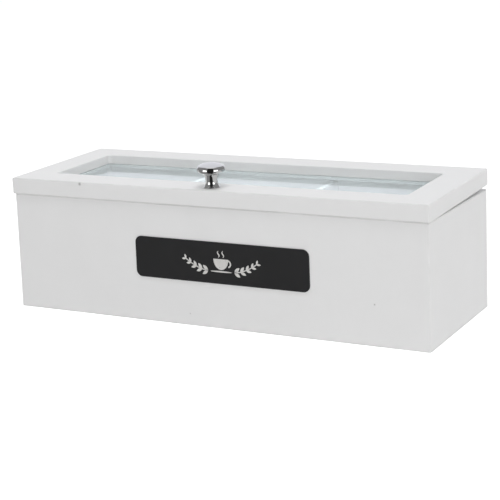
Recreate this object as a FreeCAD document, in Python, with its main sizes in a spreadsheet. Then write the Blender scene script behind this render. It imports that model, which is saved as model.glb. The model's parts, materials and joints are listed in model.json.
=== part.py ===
import FreeCAD, Part
import Sketcher
import os
import re

# Tea box: a painted board box with three compartments under a hinged, glazed lid.
# X runs along the length, the front faces -Y, Z is up and the box stands on Z = 0.
# The origin is the middle of the box's footprint.

# Driving sizes in millimetres
SIZES = {
    # Lid board and its window
    "lid_length": 240,
    "lid_depth": 87,
    "lid_thickness": 9,
    "front_overhang": 1.2,
    "end_overhang": 0.7,
    "lid_corner_round": 1,
    "rail_width": 17.5,
    "window_round": 2,
    "window_arris": 0.6,
    "edge_round": 0.8,
    # Glass and the beads that hold it
    "glass_drop": 5,
    "glass_thickness": 2,
    "glass_ledge": 4,
    "glass_play": 0.5,
    "bead_width": 3.6,
    "bead_inset": 0.2,
    "bead_play": 0.1,
    # Box boards
    "box_height": 63,
    "board_thickness": 9,
    "corner_lap": 3,
    "corner_round": 1,
    "panel_arris": 0.6,
    "base_thickness": 3,
    "base_ledge": 4.5,
    "base_play": 0.15,
    # Dividers
    "divider_thickness": 3,
    "divider_drop": 0.7,
    "slot_depth": 2.5,
    "slot_play": 0.1,
    # Hinges
    "hinge_gap": 2,
    "hinge_inset": 46.5,
    "hinge_length": 25,
    "leaf_width": 8.5,
    "leaf_thickness": 0.75,
    "leaf_corner": 1,
    "pin_radius": 0.75,
    "pin_inset": 1.2,
    "pin_bevel": 0.2,
    "knuckle_gap": 0.1,
    "running_gap": 0.05,
    "relief_gap": 0.3,
    "lid_seat_gap": 0.05,
    # Hinge screws
    "screw_head_radius": 1.8,
    "screw_radius": 0.95,
    "screw_length": 6.5,
    "screw_tip": 1.4,
    "screw_setback": 3.9,
    "screw_edge": 4.5,
    "screw_play": 0.1,
    # Brads through the base
    "brad_radius": 0.6,
    "brad_length": 14,
    "brad_head_radius": 1.1,
    "brad_head_height": 0.5,
    "brad_inset": 2.25,
    "brad_edge": 15,
    # Knob, from its foot up
    "knob_setback": 6.9,
    "knob_offset": 0.9,
    "knob_height": 12.9,
    "knob_foot_radius": 4.4,
    "knob_foot_height": 0.5,
    "knob_waist_radius": 3.1,
    "knob_waist_height": 3,
    "knob_neck_radius": 4,
    "knob_neck_height": 7,
    "knob_rim_radius": 7.25,
    "knob_rim_height": 8.5,
    "knob_rim_turn": 0.3,
    "knob_belly_height": 9.6,
    "knob_shoulder_height": 11.35,
    "knob_shoulder_inset": 0.75,
    "knob_bore_depth": 8,
    # Knob screw
    "bolt_radius": 2,
    "bolt_play": 0.05,
    "bolt_hole_play": 0.25,
    "bolt_reach": 6.5,
    "bolt_head_radius": 3.6,
    "bolt_head_height": 2.2,
    "bolt_head_crown": 0.5,
    "bolt_sink": 2.8,
    "bolt_sink_play": 0.5,
    # Label plate
    "label_length": 100,
    "label_height": 21.6,
    "label_thickness": 0.5,
    "label_round": 3.5,
    "label_offset": 7,
    "label_centre_height": 34.5,
}
COMPARTMENTS = 3
KNUCKLES = 5
COINCIDENT = 1e-4

# Places that follow from the sizes, as expressions
BOX_LENGTH = "(lid_length - 2 * end_overhang)"
BOX_DEPTH = "(lid_depth - front_overhang)"
END_X = f"({BOX_LENGTH} / 2)"
BACK_Y = f"({BOX_DEPTH} / 2)"
INNER_X = f"({END_X} - board_thickness)"
INNER_Y = f"({BACK_Y} - board_thickness)"
LID_BOTTOM = "(box_height + hinge_gap)"
LID_TOP = "(box_height + hinge_gap + lid_thickness)"
HINGE_SPACING = "(lid_length - 2 * hinge_inset)"
PIN_Y = f"({BACK_Y} - pin_inset)"
PIN_Z = "(box_height + hinge_gap / 2)"
BARREL_RADIUS = "(pin_radius + leaf_thickness)"
COMPARTMENT = f"((2 * {INNER_X} - {COMPARTMENTS - 1} * divider_thickness) / {COMPARTMENTS})"
DIVIDER_X = f"(({COMPARTMENT} + divider_thickness) / 2)"
WINDOW_X = "(lid_length / 2 - rail_width)"
WINDOW_Y = "(lid_depth / 2 - rail_width)"
LID_MIDDLE_Y = "(-front_overhang / 2)"
KNOB_Y = f"(-{BACK_Y} - front_overhang + knob_setback)"

doc = FreeCAD.newDocument("TeaBox")
sheet = doc.addObject("Spreadsheet::Sheet", "Sizes")
for row, (alias, size) in enumerate(SIZES.items(), start=1):
    sheet.set(f"A{row}", alias)
    sheet.set(f"B{row}", str(size))
    sheet.setAlias(f"B{row}", alias)
doc.recompute()


# Small tools for a bound sketch and its features
def spelled(text):
    """The expression with each size spelled as a cell of the sheet."""
    return re.sub(r"\b(" + "|".join(SIZES) + r")\b", r"Sizes.\1", text)


def value(text):
    result = sheet.evalExpression(spelled(text))
    return float(getattr(result, "Value", result))


def bind(thing, path, text):
    thing.setExpression(path, spelled(text))


def near(a, b):
    return abs(a - b) < COINCIDENT


def new_body(name):
    body = doc.addObject("PartDesign::Body", name)
    body.Label = name
    return body


def origin_part(body, role):
    return next(part for part in body.Origin.OriginFeatures if part.Role == role)


def new_sketch(body, name, plane, lift="0", shift="0"):
    """A sketch on one of the body's own planes, lifted along its normal and shifted along its X."""
    sketch = body.newObject("Sketcher::SketchObject", name)
    sketch.AttachmentSupport = [(origin_part(body, plane), "")]
    sketch.MapMode = "FlatFace"
    bind(sketch, ".AttachmentOffset.Base.z", lift)
    bind(sketch, ".AttachmentOffset.Base.x", shift)
    return sketch


def place_point(sketch, piece, end, x, y):
    """Ties one point of the sketch to its two coordinates."""
    for kind, text in (("DistanceX", x), ("DistanceY", y)):
        number = sketch.addConstraint(Sketcher.Constraint(kind, -1, 1, piece, end, value(text)))
        bind(sketch, f"Constraints[{number}]", text)


def draw_outline(sketch, points, arcs=None):
    """A closed outline through the points. arcs gives the stretches, by the number of the point
    they start from, that bend: their radius and the side of travel that the centre is on."""
    arcs = arcs or {}
    spots = [FreeCAD.Vector(value(x), value(y), 0) for x, y in points]
    pieces = []
    for number, start in enumerate(spots):
        finish = spots[(number + 1) % len(spots)]
        if number not in arcs:
            piece = sketch.addGeometry(Part.LineSegment(start, finish), False)
            pieces.append((piece, 1, 2))
            continue
        radius, side = arcs[number]
        if side == "right":
            start, finish = finish, start
        chord = finish - start
        left = FreeCAD.Vector(-chord.y, chord.x, 0).normalize()
        reach = value(radius)
        rise = reach - max(reach ** 2 - (chord.Length / 2) ** 2, 0) ** 0.5
        bend = Part.Arc(start, (start + finish) / 2 - left * rise, finish)
        piece = sketch.addGeometry(bend, False)
        pieces.append((piece, 1, 2) if side == "left" else (piece, 2, 1))
        rule = sketch.addConstraint(Sketcher.Constraint("Radius", piece, reach))
        bind(sketch, f"Constraints[{rule}]", radius)
    for number, (piece, first, last) in enumerate(pieces):
        following, start_end, _ = pieces[(number + 1) % len(pieces)]
        sketch.addConstraint(Sketcher.Constraint("Coincident", piece, last, following, start_end))
        place_point(sketch, piece, first, *points[number])


def rectangle(x0, y0, x1, y1):
    return [(x0, y0), (x1, y0), (x1, y1), (x0, y1)]


def draw_rounded(sketch, x, y, half_x, half_y, radius):
    """A rectangle about (x, y) with its four corners rounded."""
    points = []
    for sx, sy, turned in ((1, -1, False), (1, 1, True), (-1, 1, False), (-1, -1, True)):
        along = (f"{x} + {sx} * ({half_x} - {radius})", f"{y} + {sy} * {half_y}")
        across = (f"{x} + {sx} * {half_x}", f"{y} + {sy} * ({half_y} - {radius})")
        points += [across, along] if turned else [along, across]
    draw_outline(sketch, points, {number: (radius, "left") for number in (0, 2, 4, 6)})


def draw_circle(sketch, x, y, radius):
    spot = FreeCAD.Vector(value(x), value(y), 0)
    circle = sketch.addGeometry(Part.Circle(spot, FreeCAD.Vector(0, 0, 1), value(radius)), False)
    rule = sketch.addConstraint(Sketcher.Constraint("Radius", circle, value(radius)))
    bind(sketch, f"Constraints[{rule}]", radius)
    place_point(sketch, circle, 3, x, y)


def pad(body, sketch, length, both_ways=False):
    feature = body.newObject("PartDesign::Pad", f"{sketch.Name}_pad")
    feature.Profile = sketch
    feature.SideType = "Symmetric" if both_ways else "One side"
    bind(feature, "Length", length)
    doc.recompute()
    return feature


def check_cut(body, feature, before):
    doc.recompute()
    if not feature.Shape.Volume < before - COINCIDENT:
        raise RuntimeError(f"{body.Label}: {feature.Name} cuts nothing")
    return feature


def pocket(body, sketch, length, along_normal):
    """Cuts the sketch out of the body, along the sketch's normal or against it."""
    before = body.Tip.Shape.Volume
    feature = body.newObject("PartDesign::Pocket", f"{sketch.Name}_cut")
    feature.Profile = sketch
    feature.Reversed = along_normal
    bind(feature, "Length", length)
    return check_cut(body, feature, before)


def turned(body, sketch, kind="Revolution"):
    """Turns the sketch about its own vertical axis, to add or to cut."""
    before = body.Tip.Shape.Volume if kind == "Groove" else 0
    feature = body.newObject(f"PartDesign::{kind}", f"{sketch.Name}_turned")
    feature.Profile = sketch
    feature.ReferenceAxis = (sketch, ["V_Axis"])
    feature.Angle = 360
    doc.recompute()
    return check_cut(body, feature, before) if kind == "Groove" else feature


def repeat_along_x(body, features, rows):
    """Repeats the features along X. rows holds one or two (copies, distance) pairs."""
    pattern = body.newObject("PartDesign::LinearPattern", f"{features[-1].Name}_row")
    pattern.Originals = features
    axis = (origin_part(body, "X_Axis"), [""])
    for suffix, (copies, distance) in zip(("", "2"), rows):
        setattr(pattern, f"Direction{suffix}", axis)
        setattr(pattern, f"Occurrences{suffix}", copies)
        bind(pattern, f"Length{suffix}", distance)
    body.Tip = pattern
    doc.recompute()
    return pattern


def round_edges(body, name, radius, wanted, kind="Fillet", size="Radius"):
    """Rounds or bevels the edges whose bounding box the test picks."""
    base = body.Tip
    names = [f"Edge{n}" for n, edge in enumerate(base.Shape.Edges, start=1) if wanted(edge.BoundBox)]
    feature = body.newObject(f"PartDesign::{kind}", name)
    feature.Base = (base, names)
    bind(feature, size, radius)
    doc.recompute()
    return feature


# Four board walls
def wall_outline(side):
    """Plan of the front (-1) or back (1) wall: lapped ends and two divider slots on its inner face."""
    outer = f"{side} * {BACK_Y}"
    lap = f"{side} * ({INNER_Y} + corner_lap)"
    inner = f"{side} * {INNER_Y}"
    slot = f"{side} * ({INNER_Y} + slot_depth)"
    half = "(divider_thickness / 2 + slot_play)"
    right = [(END_X, outer), (END_X, lap), (INNER_X, lap), (INNER_X, inner)]
    right += [(f"{DIVIDER_X} + {half}", inner), (f"{DIVIDER_X} + {half}", slot)]
    right += [(f"{DIVIDER_X} - {half}", slot), (f"{DIVIDER_X} - {half}", inner)]
    left = [(f"-({x})", y) for x, y in reversed(right)]
    return right + left


def base_rebate(body, name):
    """The step under the inner edge that the base is let into."""
    sketch = new_sketch(body, f"{name}_rebate", "XY_Plane")
    draw_outline(sketch, rectangle(f"-{INNER_X} - base_ledge", f"-{INNER_Y} - base_ledge",
                                   f"{INNER_X} + base_ledge", f"{INNER_Y} + base_ledge"))
    pocket(body, sketch, "base_thickness", True)


def long_wall_brads(side):
    far = f"({INNER_X} - brad_edge)"
    return [(x, f"{side} * ({INNER_Y} + brad_inset)") for x in (f"-{far}", "0", far)]


def end_wall_brads(side):
    far = f"({INNER_Y} - brad_edge)"
    return [(f"{side} * ({INNER_X} + brad_inset)", y) for y in (f"-{far}", far)]


BRADS = long_wall_brads(-1) + long_wall_brads(1) + end_wall_brads(-1) + end_wall_brads(1)


def brad_holes(body, name, places):
    sketch = new_sketch(body, f"{name}_brad_holes", "XY_Plane", "base_thickness")
    for x, y in places:
        draw_circle(sketch, x, y, "brad_radius")
    pocket(body, sketch, "brad_length - base_thickness", True)


def build_long_wall(name, side):
    body = new_body(name)
    sketch = new_sketch(body, f"{name}_plan", "XY_Plane")
    draw_outline(sketch, wall_outline(side))
    pad(body, sketch, "box_height")
    outer = side * value(BACK_Y)

    def at_end(box):
        return near(abs(box.XMin), value(END_X)) and near(box.XMin, box.XMax)

    def upright_corner(box):
        return at_end(box) and near(box.YMin, outer) and near(box.YMax, outer)

    def outer_arris(box):
        at_face = near(max(side * box.YMin, side * box.YMax), side * outer)
        return near(box.ZMin, value("box_height")) and (at_face or at_end(box))
    round_edges(body, f"{name}_corners", "corner_round", upright_corner)
    round_edges(body, f"{name}_arris", "panel_arris", outer_arris)
    base_rebate(body, name)
    brad_holes(body, name, long_wall_brads(side))
    if side > 0:
        barrel_relief(body, name)
        screw_rows(body, f"{name}_screw_holes", BOX_SCREW_FACE, -1, "Groove")
    return body


def build_end_wall(name, side):
    body = new_body(name)
    sketch = new_sketch(body, f"{name}_plan", "XY_Plane")
    far = f"({INNER_Y} + corner_lap)"
    draw_outline(sketch, rectangle(f"{side} * {INNER_X}", f"-{far}", f"{side} * {END_X}", far))
    pad(body, sketch, "box_height")
    base_rebate(body, name)
    brad_holes(body, name, end_wall_brads(side))
    top, end = value("box_height"), side * value(END_X)
    round_edges(body, f"{name}_arris", "panel_arris",
                lambda box: near(box.ZMin, top) and near(box.XMin, end) and near(box.XMax, end))
    return body


# Base, dividers and brads
def build_base():
    body = new_body("base_panel")
    sketch = new_sketch(body, "base_plan", "XY_Plane")
    far_x = f"({INNER_X} + base_ledge - base_play)"
    far_y = f"({INNER_Y} + base_ledge - base_play)"
    draw_outline(sketch, rectangle(f"-{far_x}", f"-{far_y}", far_x, far_y))
    pad(body, sketch, "base_thickness")
    heads = new_sketch(body, "base_brad_heads", "XY_Plane")
    shanks = new_sketch(body, "base_brad_shanks", "XY_Plane")
    for x, y in BRADS:
        draw_circle(heads, x, y, "brad_head_radius")
        draw_circle(shanks, x, y, "brad_radius")
    pocket(body, heads, "brad_head_height", True)
    pocket(body, shanks, "base_thickness", True)
    return body


def build_brads():
    body = new_body("base_brads")
    heads = new_sketch(body, "brad_heads", "XY_Plane")
    shanks = new_sketch(body, "brad_shanks", "XY_Plane")
    for x, y in BRADS:
        draw_circle(heads, x, y, "brad_head_radius")
        draw_circle(shanks, x, y, "brad_radius")
    pad(body, heads, "brad_head_height")
    pad(body, shanks, "brad_length")
    return body


def build_divider(name, side):
    body = new_body(name)
    sketch = new_sketch(body, f"{name}_plan", "XY_Plane", "base_thickness")
    far = f"({INNER_Y} + slot_depth - slot_play)"
    draw_outline(sketch, rectangle(f"{side} * {DIVIDER_X} - divider_thickness / 2", f"-{far}",
                                   f"{side} * {DIVIDER_X} + divider_thickness / 2", far))
    pad(body, sketch, "box_height - base_thickness - divider_drop")
    return body


# Hinges: two leaves rolled round one pin, with five knuckles
def screw_profile(face, heading, play):
    """Half of a countersunk screw, from its head's face. heading is 1 for up and -1 for down."""
    neck = f"{face} + {heading} * (screw_head_radius - screw_radius)"
    shoulder = f"{face} + {heading} * (screw_length - screw_tip)"
    tip = f"{face} + {heading} * screw_length"
    return [("0", face), (f"screw_head_radius + {play}", face), (f"screw_radius + {play}", neck),
            (f"screw_radius + {play}", shoulder), ("0", tip)]


SCREW_SPREAD = "(hinge_length - 2 * screw_edge)"
FIRST_SCREW_X = f"(-{HINGE_SPACING} / 2 - {SCREW_SPREAD} / 2)"
SCREW_Y = f"({PIN_Y} - screw_setback)"
BOX_SCREW_FACE = "(box_height + leaf_thickness)"
LID_SCREW_FACE = f"({LID_BOTTOM} - leaf_thickness)"


def screw_rows(body, name, face, heading, kind):
    """Adds or cuts the four screws of one row, two in each hinge."""
    sketch = new_sketch(body, name, "XZ_Plane", f"-{SCREW_Y}", FIRST_SCREW_X)
    draw_outline(sketch, screw_profile(face, heading, "0"))
    screw = turned(body, sketch, kind)
    repeat_along_x(body, [screw], ((2, SCREW_SPREAD), (2, HINGE_SPACING)))


def barrel_relief(body, name):
    """Scoops out a hollow for each hinge barrel."""
    length = "(hinge_length + 2 * relief_gap)"
    sketch = new_sketch(body, f"{name}_relief", "YZ_Plane", f"-({HINGE_SPACING} + {length}) / 2")
    draw_circle(sketch, PIN_Y, PIN_Z, f"{BARREL_RADIUS} + relief_gap")
    hollow = pocket(body, sketch, length, True)
    repeat_along_x(body, [hollow], ((2, HINGE_SPACING),))


def build_leaf(name, centre, on_lid):
    """One leaf: the plate, its share of the knuckles, the bore for the pin and two screw holes."""
    body = new_body(name)
    bottom = LID_SCREW_FACE if on_lid else "box_height"
    plate = new_sketch(body, f"{name}_plate", "XY_Plane", bottom, centre)
    edge = f"({PIN_Y} - {BARREL_RADIUS} - relief_gap)"
    draw_outline(plate, rectangle("-hinge_length / 2", f"{PIN_Y} - leaf_width", "hinge_length / 2", edge))
    pad(body, plate, "leaf_thickness")
    round_edges(body, f"{name}_corners", "leaf_corner",
                lambda box: near(box.YMin, value(f"{PIN_Y} - leaf_width")) and near(box.YMin, box.YMax)
                and near(box.XMin, box.XMax))
    pitch = f"(hinge_length / {KNUCKLES})"
    count = (KNUCKLES + 1) // 2 if on_lid else KNUCKLES // 2
    first = f"(-{count - 1} * {pitch})"
    width = f"({pitch} - 2 * knuckle_gap)"
    tongue = new_sketch(body, f"{name}_tongue", "XY_Plane", bottom, f"{centre} + {first}")
    draw_outline(tongue, rectangle(f"-{width} / 2", edge, f"{width} / 2", PIN_Y))
    barrel = new_sketch(body, f"{name}_barrel", "YZ_Plane", f"{centre} + {first}")
    draw_circle(barrel, PIN_Y, PIN_Z, BARREL_RADIUS)
    knuckle = [pad(body, tongue, "leaf_thickness"), pad(body, barrel, width, both_ways=True)]
    repeat_along_x(body, knuckle, ((count, f"{count - 1} * 2 * {pitch}"),))
    bore = new_sketch(body, f"{name}_bore", "YZ_Plane", f"{centre} - hinge_length / 2")
    draw_circle(bore, PIN_Y, PIN_Z, "pin_radius + running_gap" if on_lid else "pin_radius")
    pocket(body, bore, "hinge_length", True)
    holes = new_sketch(body, f"{name}_holes", "XZ_Plane", f"-{SCREW_Y}", f"{centre} - {SCREW_SPREAD} / 2")
    face, heading = (LID_SCREW_FACE, 1) if on_lid else (BOX_SCREW_FACE, -1)
    draw_outline(holes, screw_profile(face, heading, "screw_play"))
    repeat_along_x(body, [turned(body, holes, "Groove")], ((2, SCREW_SPREAD),))
    return body


def build_pin(name, centre):
    body = new_body(name)
    sketch = new_sketch(body, f"{name}_section", "YZ_Plane", centre)
    draw_circle(sketch, PIN_Y, PIN_Z, "pin_radius")
    pad(body, sketch, "hinge_length", both_ways=True)
    round_edges(body, f"{name}_ends", "pin_bevel", lambda box: near(box.XMin, box.XMax), "Chamfer", "Size")
    return body


def build_screws(name, face, heading):
    body = new_body(name)
    screw_rows(body, f"{name}_profile", face, heading, "Revolution")
    return body


# Lid: one board with a routed window, shut about the hinge pins until its front meets the box
def build_lid_frame():
    body = new_body("lid_frame")
    board = new_sketch(body, "lid_plan", "XY_Plane", LID_BOTTOM)
    draw_rounded(board, "0", LID_MIDDLE_Y, "(lid_length / 2)", "(lid_depth / 2)", "lid_corner_round")
    pad(body, board, "lid_thickness")
    window = new_sketch(body, "lid_window", "XY_Plane", LID_BOTTOM)
    draw_rounded(window, "0", LID_MIDDLE_Y, WINDOW_X, WINDOW_Y, "window_round")
    pocket(body, window, "lid_thickness", True)
    middle = value(LID_MIDDLE_Y)

    def on_rim(box):
        far_x = max(abs(box.XMin), abs(box.XMax))
        far_y = max(abs(box.YMin - middle), abs(box.YMax - middle))
        return far_x > value(f"{WINDOW_X} + rail_width / 2") or far_y > value(f"{WINDOW_Y} + rail_width / 2")

    def at_top(box):
        return near(box.ZMin, value(LID_TOP))
    round_edges(body, "lid_arris", "edge_round", lambda box: on_rim(box) and near(box.ZMin, box.ZMax))
    round_edges(body, "window_arris_round", "window_arris", lambda box: at_top(box) and not on_rim(box))
    rebate = new_sketch(body, "lid_rebate", "XY_Plane", LID_BOTTOM)
    draw_rounded(rebate, "0", LID_MIDDLE_Y, f"({WINDOW_X} + glass_ledge)", f"({WINDOW_Y} + glass_ledge)",
                 "window_round")
    pocket(body, rebate, "lid_thickness - glass_drop", True)
    bolt_hole = new_sketch(body, "lid_bolt_hole", "XY_Plane", LID_BOTTOM)
    draw_circle(bolt_hole, "knob_offset", KNOB_Y, "bolt_radius + bolt_hole_play")
    pocket(body, bolt_hole, "lid_thickness", True)
    sink = new_sketch(body, "lid_bolt_sink", "XY_Plane", LID_BOTTOM)
    draw_circle(sink, "knob_offset", KNOB_Y, "bolt_head_radius + bolt_sink_play")
    pocket(body, sink, "bolt_sink", True)
    barrel_relief(body, "lid")
    screw_rows(body, "lid_screw_holes", LID_SCREW_FACE, 1, "Groove")
    return body


def build_glass():
    body = new_body("glass_pane")
    bottom = f"({LID_TOP} - glass_drop - glass_thickness)"
    far_x = f"({WINDOW_X} + glass_ledge - glass_play)"
    far_y = f"({WINDOW_Y} + glass_ledge - glass_play)"
    sketch = new_sketch(body, "glass_plan", "XY_Plane", bottom)
    draw_outline(sketch, rectangle(f"-{far_x}", f"{LID_MIDDLE_Y} - {far_y}",
                                   far_x, f"{LID_MIDDLE_Y} + {far_y}"))
    pad(body, sketch, "glass_thickness")
    round_edges(body, "nipped_corners", "window_round", lambda box: box.ZMax - box.ZMin > COINCIDENT,
                "Chamfer", "Size")
    return body


def build_bead(name, side_x, side_y):
    """A flat bead that holds one side of the glass up in its rebate."""
    body = new_body(name)
    wall_x = f"({WINDOW_X} + glass_ledge - bead_play)"
    wall_y = f"({WINDOW_Y} + glass_ledge - bead_play)"
    if side_y:
        far = f"({WINDOW_X} + glass_ledge - window_round)"
        corners = (f"-{far}", f"{LID_MIDDLE_Y} + {side_y} * ({wall_y} - bead_width)",
                   far, f"{LID_MIDDLE_Y} + {side_y} * {wall_y}")
    else:
        far = f"({WINDOW_Y} + glass_ledge - max(window_round; bead_width + 2 * bead_play))"
        corners = (f"{side_x} * ({wall_x} - bead_width)", f"{LID_MIDDLE_Y} - {far}",
                   f"{side_x} * {wall_x}", f"{LID_MIDDLE_Y} + {far}")
    sketch = new_sketch(body, f"{name}_plan", "XY_Plane", f"{LID_BOTTOM} + bead_inset")
    draw_outline(sketch, rectangle(*corners))
    pad(body, sketch, "lid_thickness - glass_drop - glass_thickness - bead_inset")
    return body


def build_knob():
    """A turned knob: thin foot, drawn-in waist, bellied rim and low dome, bored from below."""
    body = new_body("knob")
    dome_foot = "(knob_rim_radius - knob_shoulder_inset)"
    dome_rise = "(knob_height - knob_shoulder_height)"
    dome_radius = f"(({dome_foot} ^ 2 + {dome_rise} ^ 2) / (2 * {dome_rise}))"

    def sweep(width, rise):
        """Radius of an arc that starts upright and drifts sideways by width over the rise."""
        return f"((({width}) ^ 2 + ({rise}) ^ 2) / (2 * ({width})))"
    foot_sweep = sweep("knob_foot_radius - knob_waist_radius", "knob_waist_height - knob_foot_height")
    neck_sweep = sweep("knob_neck_radius - knob_waist_radius", "knob_neck_height - knob_waist_height")
    belly_sweep = sweep("knob_rim_turn", "knob_belly_height - knob_rim_height")
    shoulder_sweep = sweep("knob_shoulder_inset", "knob_shoulder_height - knob_belly_height")
    points = [("bolt_radius", "0"), ("knob_foot_radius", "0"), ("knob_foot_radius", "knob_foot_height"),
              ("knob_waist_radius", "knob_waist_height"), ("knob_neck_radius", "knob_neck_height"),
              ("knob_rim_radius - knob_rim_turn", "knob_rim_height"),
              ("knob_rim_radius", "knob_belly_height"), (dome_foot, "knob_shoulder_height"),
              ("0", "knob_height"), ("0", "knob_bore_depth"), ("bolt_radius", "knob_bore_depth")]
    points = [(x, f"{LID_TOP} + {z}") for x, z in points]
    arcs = {2: (foot_sweep, "right"), 3: (neck_sweep, "right"), 5: (belly_sweep, "left"),
            6: (shoulder_sweep, "left"), 7: (dome_radius, "left")}
    sketch = new_sketch(body, "knob_profile", "XZ_Plane", f"-{KNOB_Y}", "knob_offset")
    draw_outline(sketch, points, arcs)
    turned(body, sketch)
    return body


def build_knob_screw():
    body = new_body("knob_screw")
    seat = f"({LID_BOTTOM} + bolt_sink)"
    tip = f"({LID_TOP} + bolt_reach)"
    under = f"{seat} - bolt_head_height"
    shank = "bolt_radius - bolt_play"
    points = [("0", under), ("bolt_head_radius - bolt_head_crown", under),
              ("bolt_head_radius", f"{under} + bolt_head_crown"), ("bolt_head_radius", seat),
              (shank, seat), (shank, tip), ("0", tip)]
    sketch = new_sketch(body, "knob_screw_profile", "XZ_Plane", f"-{KNOB_Y}", "knob_offset")
    draw_outline(sketch, points)
    turned(body, sketch)
    return body


def build_label():
    body = new_body("label_plate")
    sketch = new_sketch(body, "label_outline", "XZ_Plane", BACK_Y)
    draw_rounded(sketch, "label_offset", "label_centre_height", "(label_length / 2)", "(label_height / 2)",
                 "label_round")
    pad(body, sketch, "label_thickness")
    return body


# Box, with the parts that stand still
parts = [
    build_long_wall("front_panel", -1),
    build_long_wall("back_panel", 1),
    build_end_wall("left_end_panel", -1),
    build_end_wall("right_end_panel", 1),
    build_base(),
    build_brads(),
    build_divider("left_divider", -1),
    build_divider("right_divider", 1),
    build_label(),
    build_screws("box_hinge_screws", BOX_SCREW_FACE, -1),
]
HINGES = {"left": f"(-{HINGE_SPACING} / 2)", "right": f"({HINGE_SPACING} / 2)"}
for hand, centre in HINGES.items():
    parts.append(build_leaf(f"{hand}_hinge_box_leaf", centre, False))
    parts.append(build_pin(f"{hand}_hinge_pin", centre))

# Lid, built level and then closed about the pins
lid_parts = [
    build_lid_frame(),
    build_glass(),
    build_bead("front_bead", 0, -1),
    build_bead("back_bead", 0, 1),
    build_bead("left_bead", -1, 0),
    build_bead("right_bead", 1, 0),
    build_knob(),
    build_knob_screw(),
    build_screws("lid_hinge_screws", LID_SCREW_FACE, 1),
]
for hand, centre in HINGES.items():
    lid_parts.append(build_leaf(f"{hand}_hinge_lid_leaf", centre, True))

# The front wall's arris stops the lid: its centre lies so far in front of the pins and below them
ARRIS_AHEAD = f"({BOX_DEPTH} - pin_inset - panel_arris)"
ARRIS_BELOW = "(hinge_gap / 2 + panel_arris)"
CLOSING = (f"atan({ARRIS_BELOW} / {ARRIS_AHEAD})"
           f" + asin((hinge_gap / 2 - panel_arris - lid_seat_gap) / hypot({ARRIS_AHEAD}; {ARRIS_BELOW}))")
for body in lid_parts:
    turn = f"create(<<rotation>>; create(<<vector>>; 1; 0; 0); {CLOSING})"
    bind(body, "Placement", f"create(<<placement>>; create(<<vector>>; 0; 0; 0); {turn};"
                            f" create(<<vector>>; 0; {PIN_Y}; {PIN_Z}))")
doc.recompute()

# Every object and shape is sound before anything is written
for thing in doc.Objects:
    if "Invalid" in thing.State or "Error" in thing.State:
        raise RuntimeError(f"{thing.Label} failed: {thing.State}")
os.makedirs("parts", exist_ok=True)
for body in parts + lid_parts:
    if body.Shape.isNull() or not body.Shape.isValid():
        raise RuntimeError(f"{body.Label} has no sound shape")
for body in parts + lid_parts:
    body.Shape.exportStep(f"parts/{body.Label}.step")
    print(f"{body.Label}: {len(body.Shape.Solids)} solid(s), {body.Shape.Volume:.1f} mm3")
print(f"lid closes {value(CLOSING):.3f} degrees below level")
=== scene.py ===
import json
import math

import bpy
from mathutils import Matrix, Vector


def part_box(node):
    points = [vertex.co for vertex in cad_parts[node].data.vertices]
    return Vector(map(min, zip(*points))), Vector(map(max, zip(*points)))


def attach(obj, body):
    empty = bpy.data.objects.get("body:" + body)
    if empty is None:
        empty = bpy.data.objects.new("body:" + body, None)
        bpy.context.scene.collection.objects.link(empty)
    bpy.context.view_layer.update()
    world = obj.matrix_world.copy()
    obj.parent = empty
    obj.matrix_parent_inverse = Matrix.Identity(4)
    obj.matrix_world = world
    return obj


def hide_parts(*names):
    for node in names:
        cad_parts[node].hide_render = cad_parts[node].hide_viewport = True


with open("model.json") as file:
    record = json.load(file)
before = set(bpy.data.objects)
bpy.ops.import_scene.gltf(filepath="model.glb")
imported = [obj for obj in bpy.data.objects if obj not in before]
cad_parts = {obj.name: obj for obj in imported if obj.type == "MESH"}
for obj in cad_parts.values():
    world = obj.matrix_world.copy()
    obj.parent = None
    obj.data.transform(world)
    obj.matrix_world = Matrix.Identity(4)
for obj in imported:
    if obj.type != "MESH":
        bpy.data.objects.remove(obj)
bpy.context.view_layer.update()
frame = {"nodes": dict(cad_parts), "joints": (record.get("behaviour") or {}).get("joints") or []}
MM = 0.001

# Camera
# It stands in front of the box, to the right and a little above, as the photograph's did.
# The photograph was trimmed at the top, so the middle of the lens's picture lies above the frame's.
CAMERA_PLACE = Vector((346.82, -645.90, 207.90)) * MM
CAMERA_TURN, CAMERA_PITCH, CAMERA_ROLL = math.radians(27.98), math.radians(9.511), math.radians(-2.179)
CAMERA_LENS, CAMERA_SENSOR, CAMERA_RISE = 101.09, 36, -0.2

camera_data = bpy.data.cameras.new("camera")
camera_data.sensor_fit = "HORIZONTAL"
camera_data.sensor_width = CAMERA_SENSOR
camera_data.lens = CAMERA_LENS
camera_data.shift_y = CAMERA_RISE
camera_data.clip_start = MM
camera = bpy.data.objects.new("camera", camera_data)
bpy.context.scene.collection.objects.link(camera)
camera.matrix_world = (Matrix.Translation(CAMERA_PLACE) @ Matrix.Rotation(CAMERA_TURN, 4, "Z")
                       @ Matrix.Rotation(math.pi / 2 - CAMERA_PITCH, 4, "X")
                       @ Matrix.Rotation(CAMERA_ROLL, 4, "Z"))
bpy.context.scene.camera = camera
bpy.context.scene.view_settings.view_transform = "Standard"


# Studio
# A pale floor in a white light tent, lit by five broad lamps that polished metal doesn't mirror. It
# mirrors two soft boxes and a room: black between them, where the photographer stands, grey at the
# sides and white behind.
def new_nodes(tree):
    """Empties a node tree. What it returns adds a node, with its inputs set or wired."""
    tree.nodes.clear()

    def add(kind, inputs=None, **settings):
        node = tree.nodes.new(kind)
        for name, setting in settings.items():
            setattr(node, name, setting)
        for name, source in (inputs or {}).items():
            socket = node.inputs[name]
            if isinstance(source, bpy.types.NodeSocket):
                tree.links.new(source, socket)
            else:
                socket.default_value = source
        return node
    return add


MIX_FIRST, MIX_SECOND, MIX_RESULT = 6, 7, 2


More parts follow.
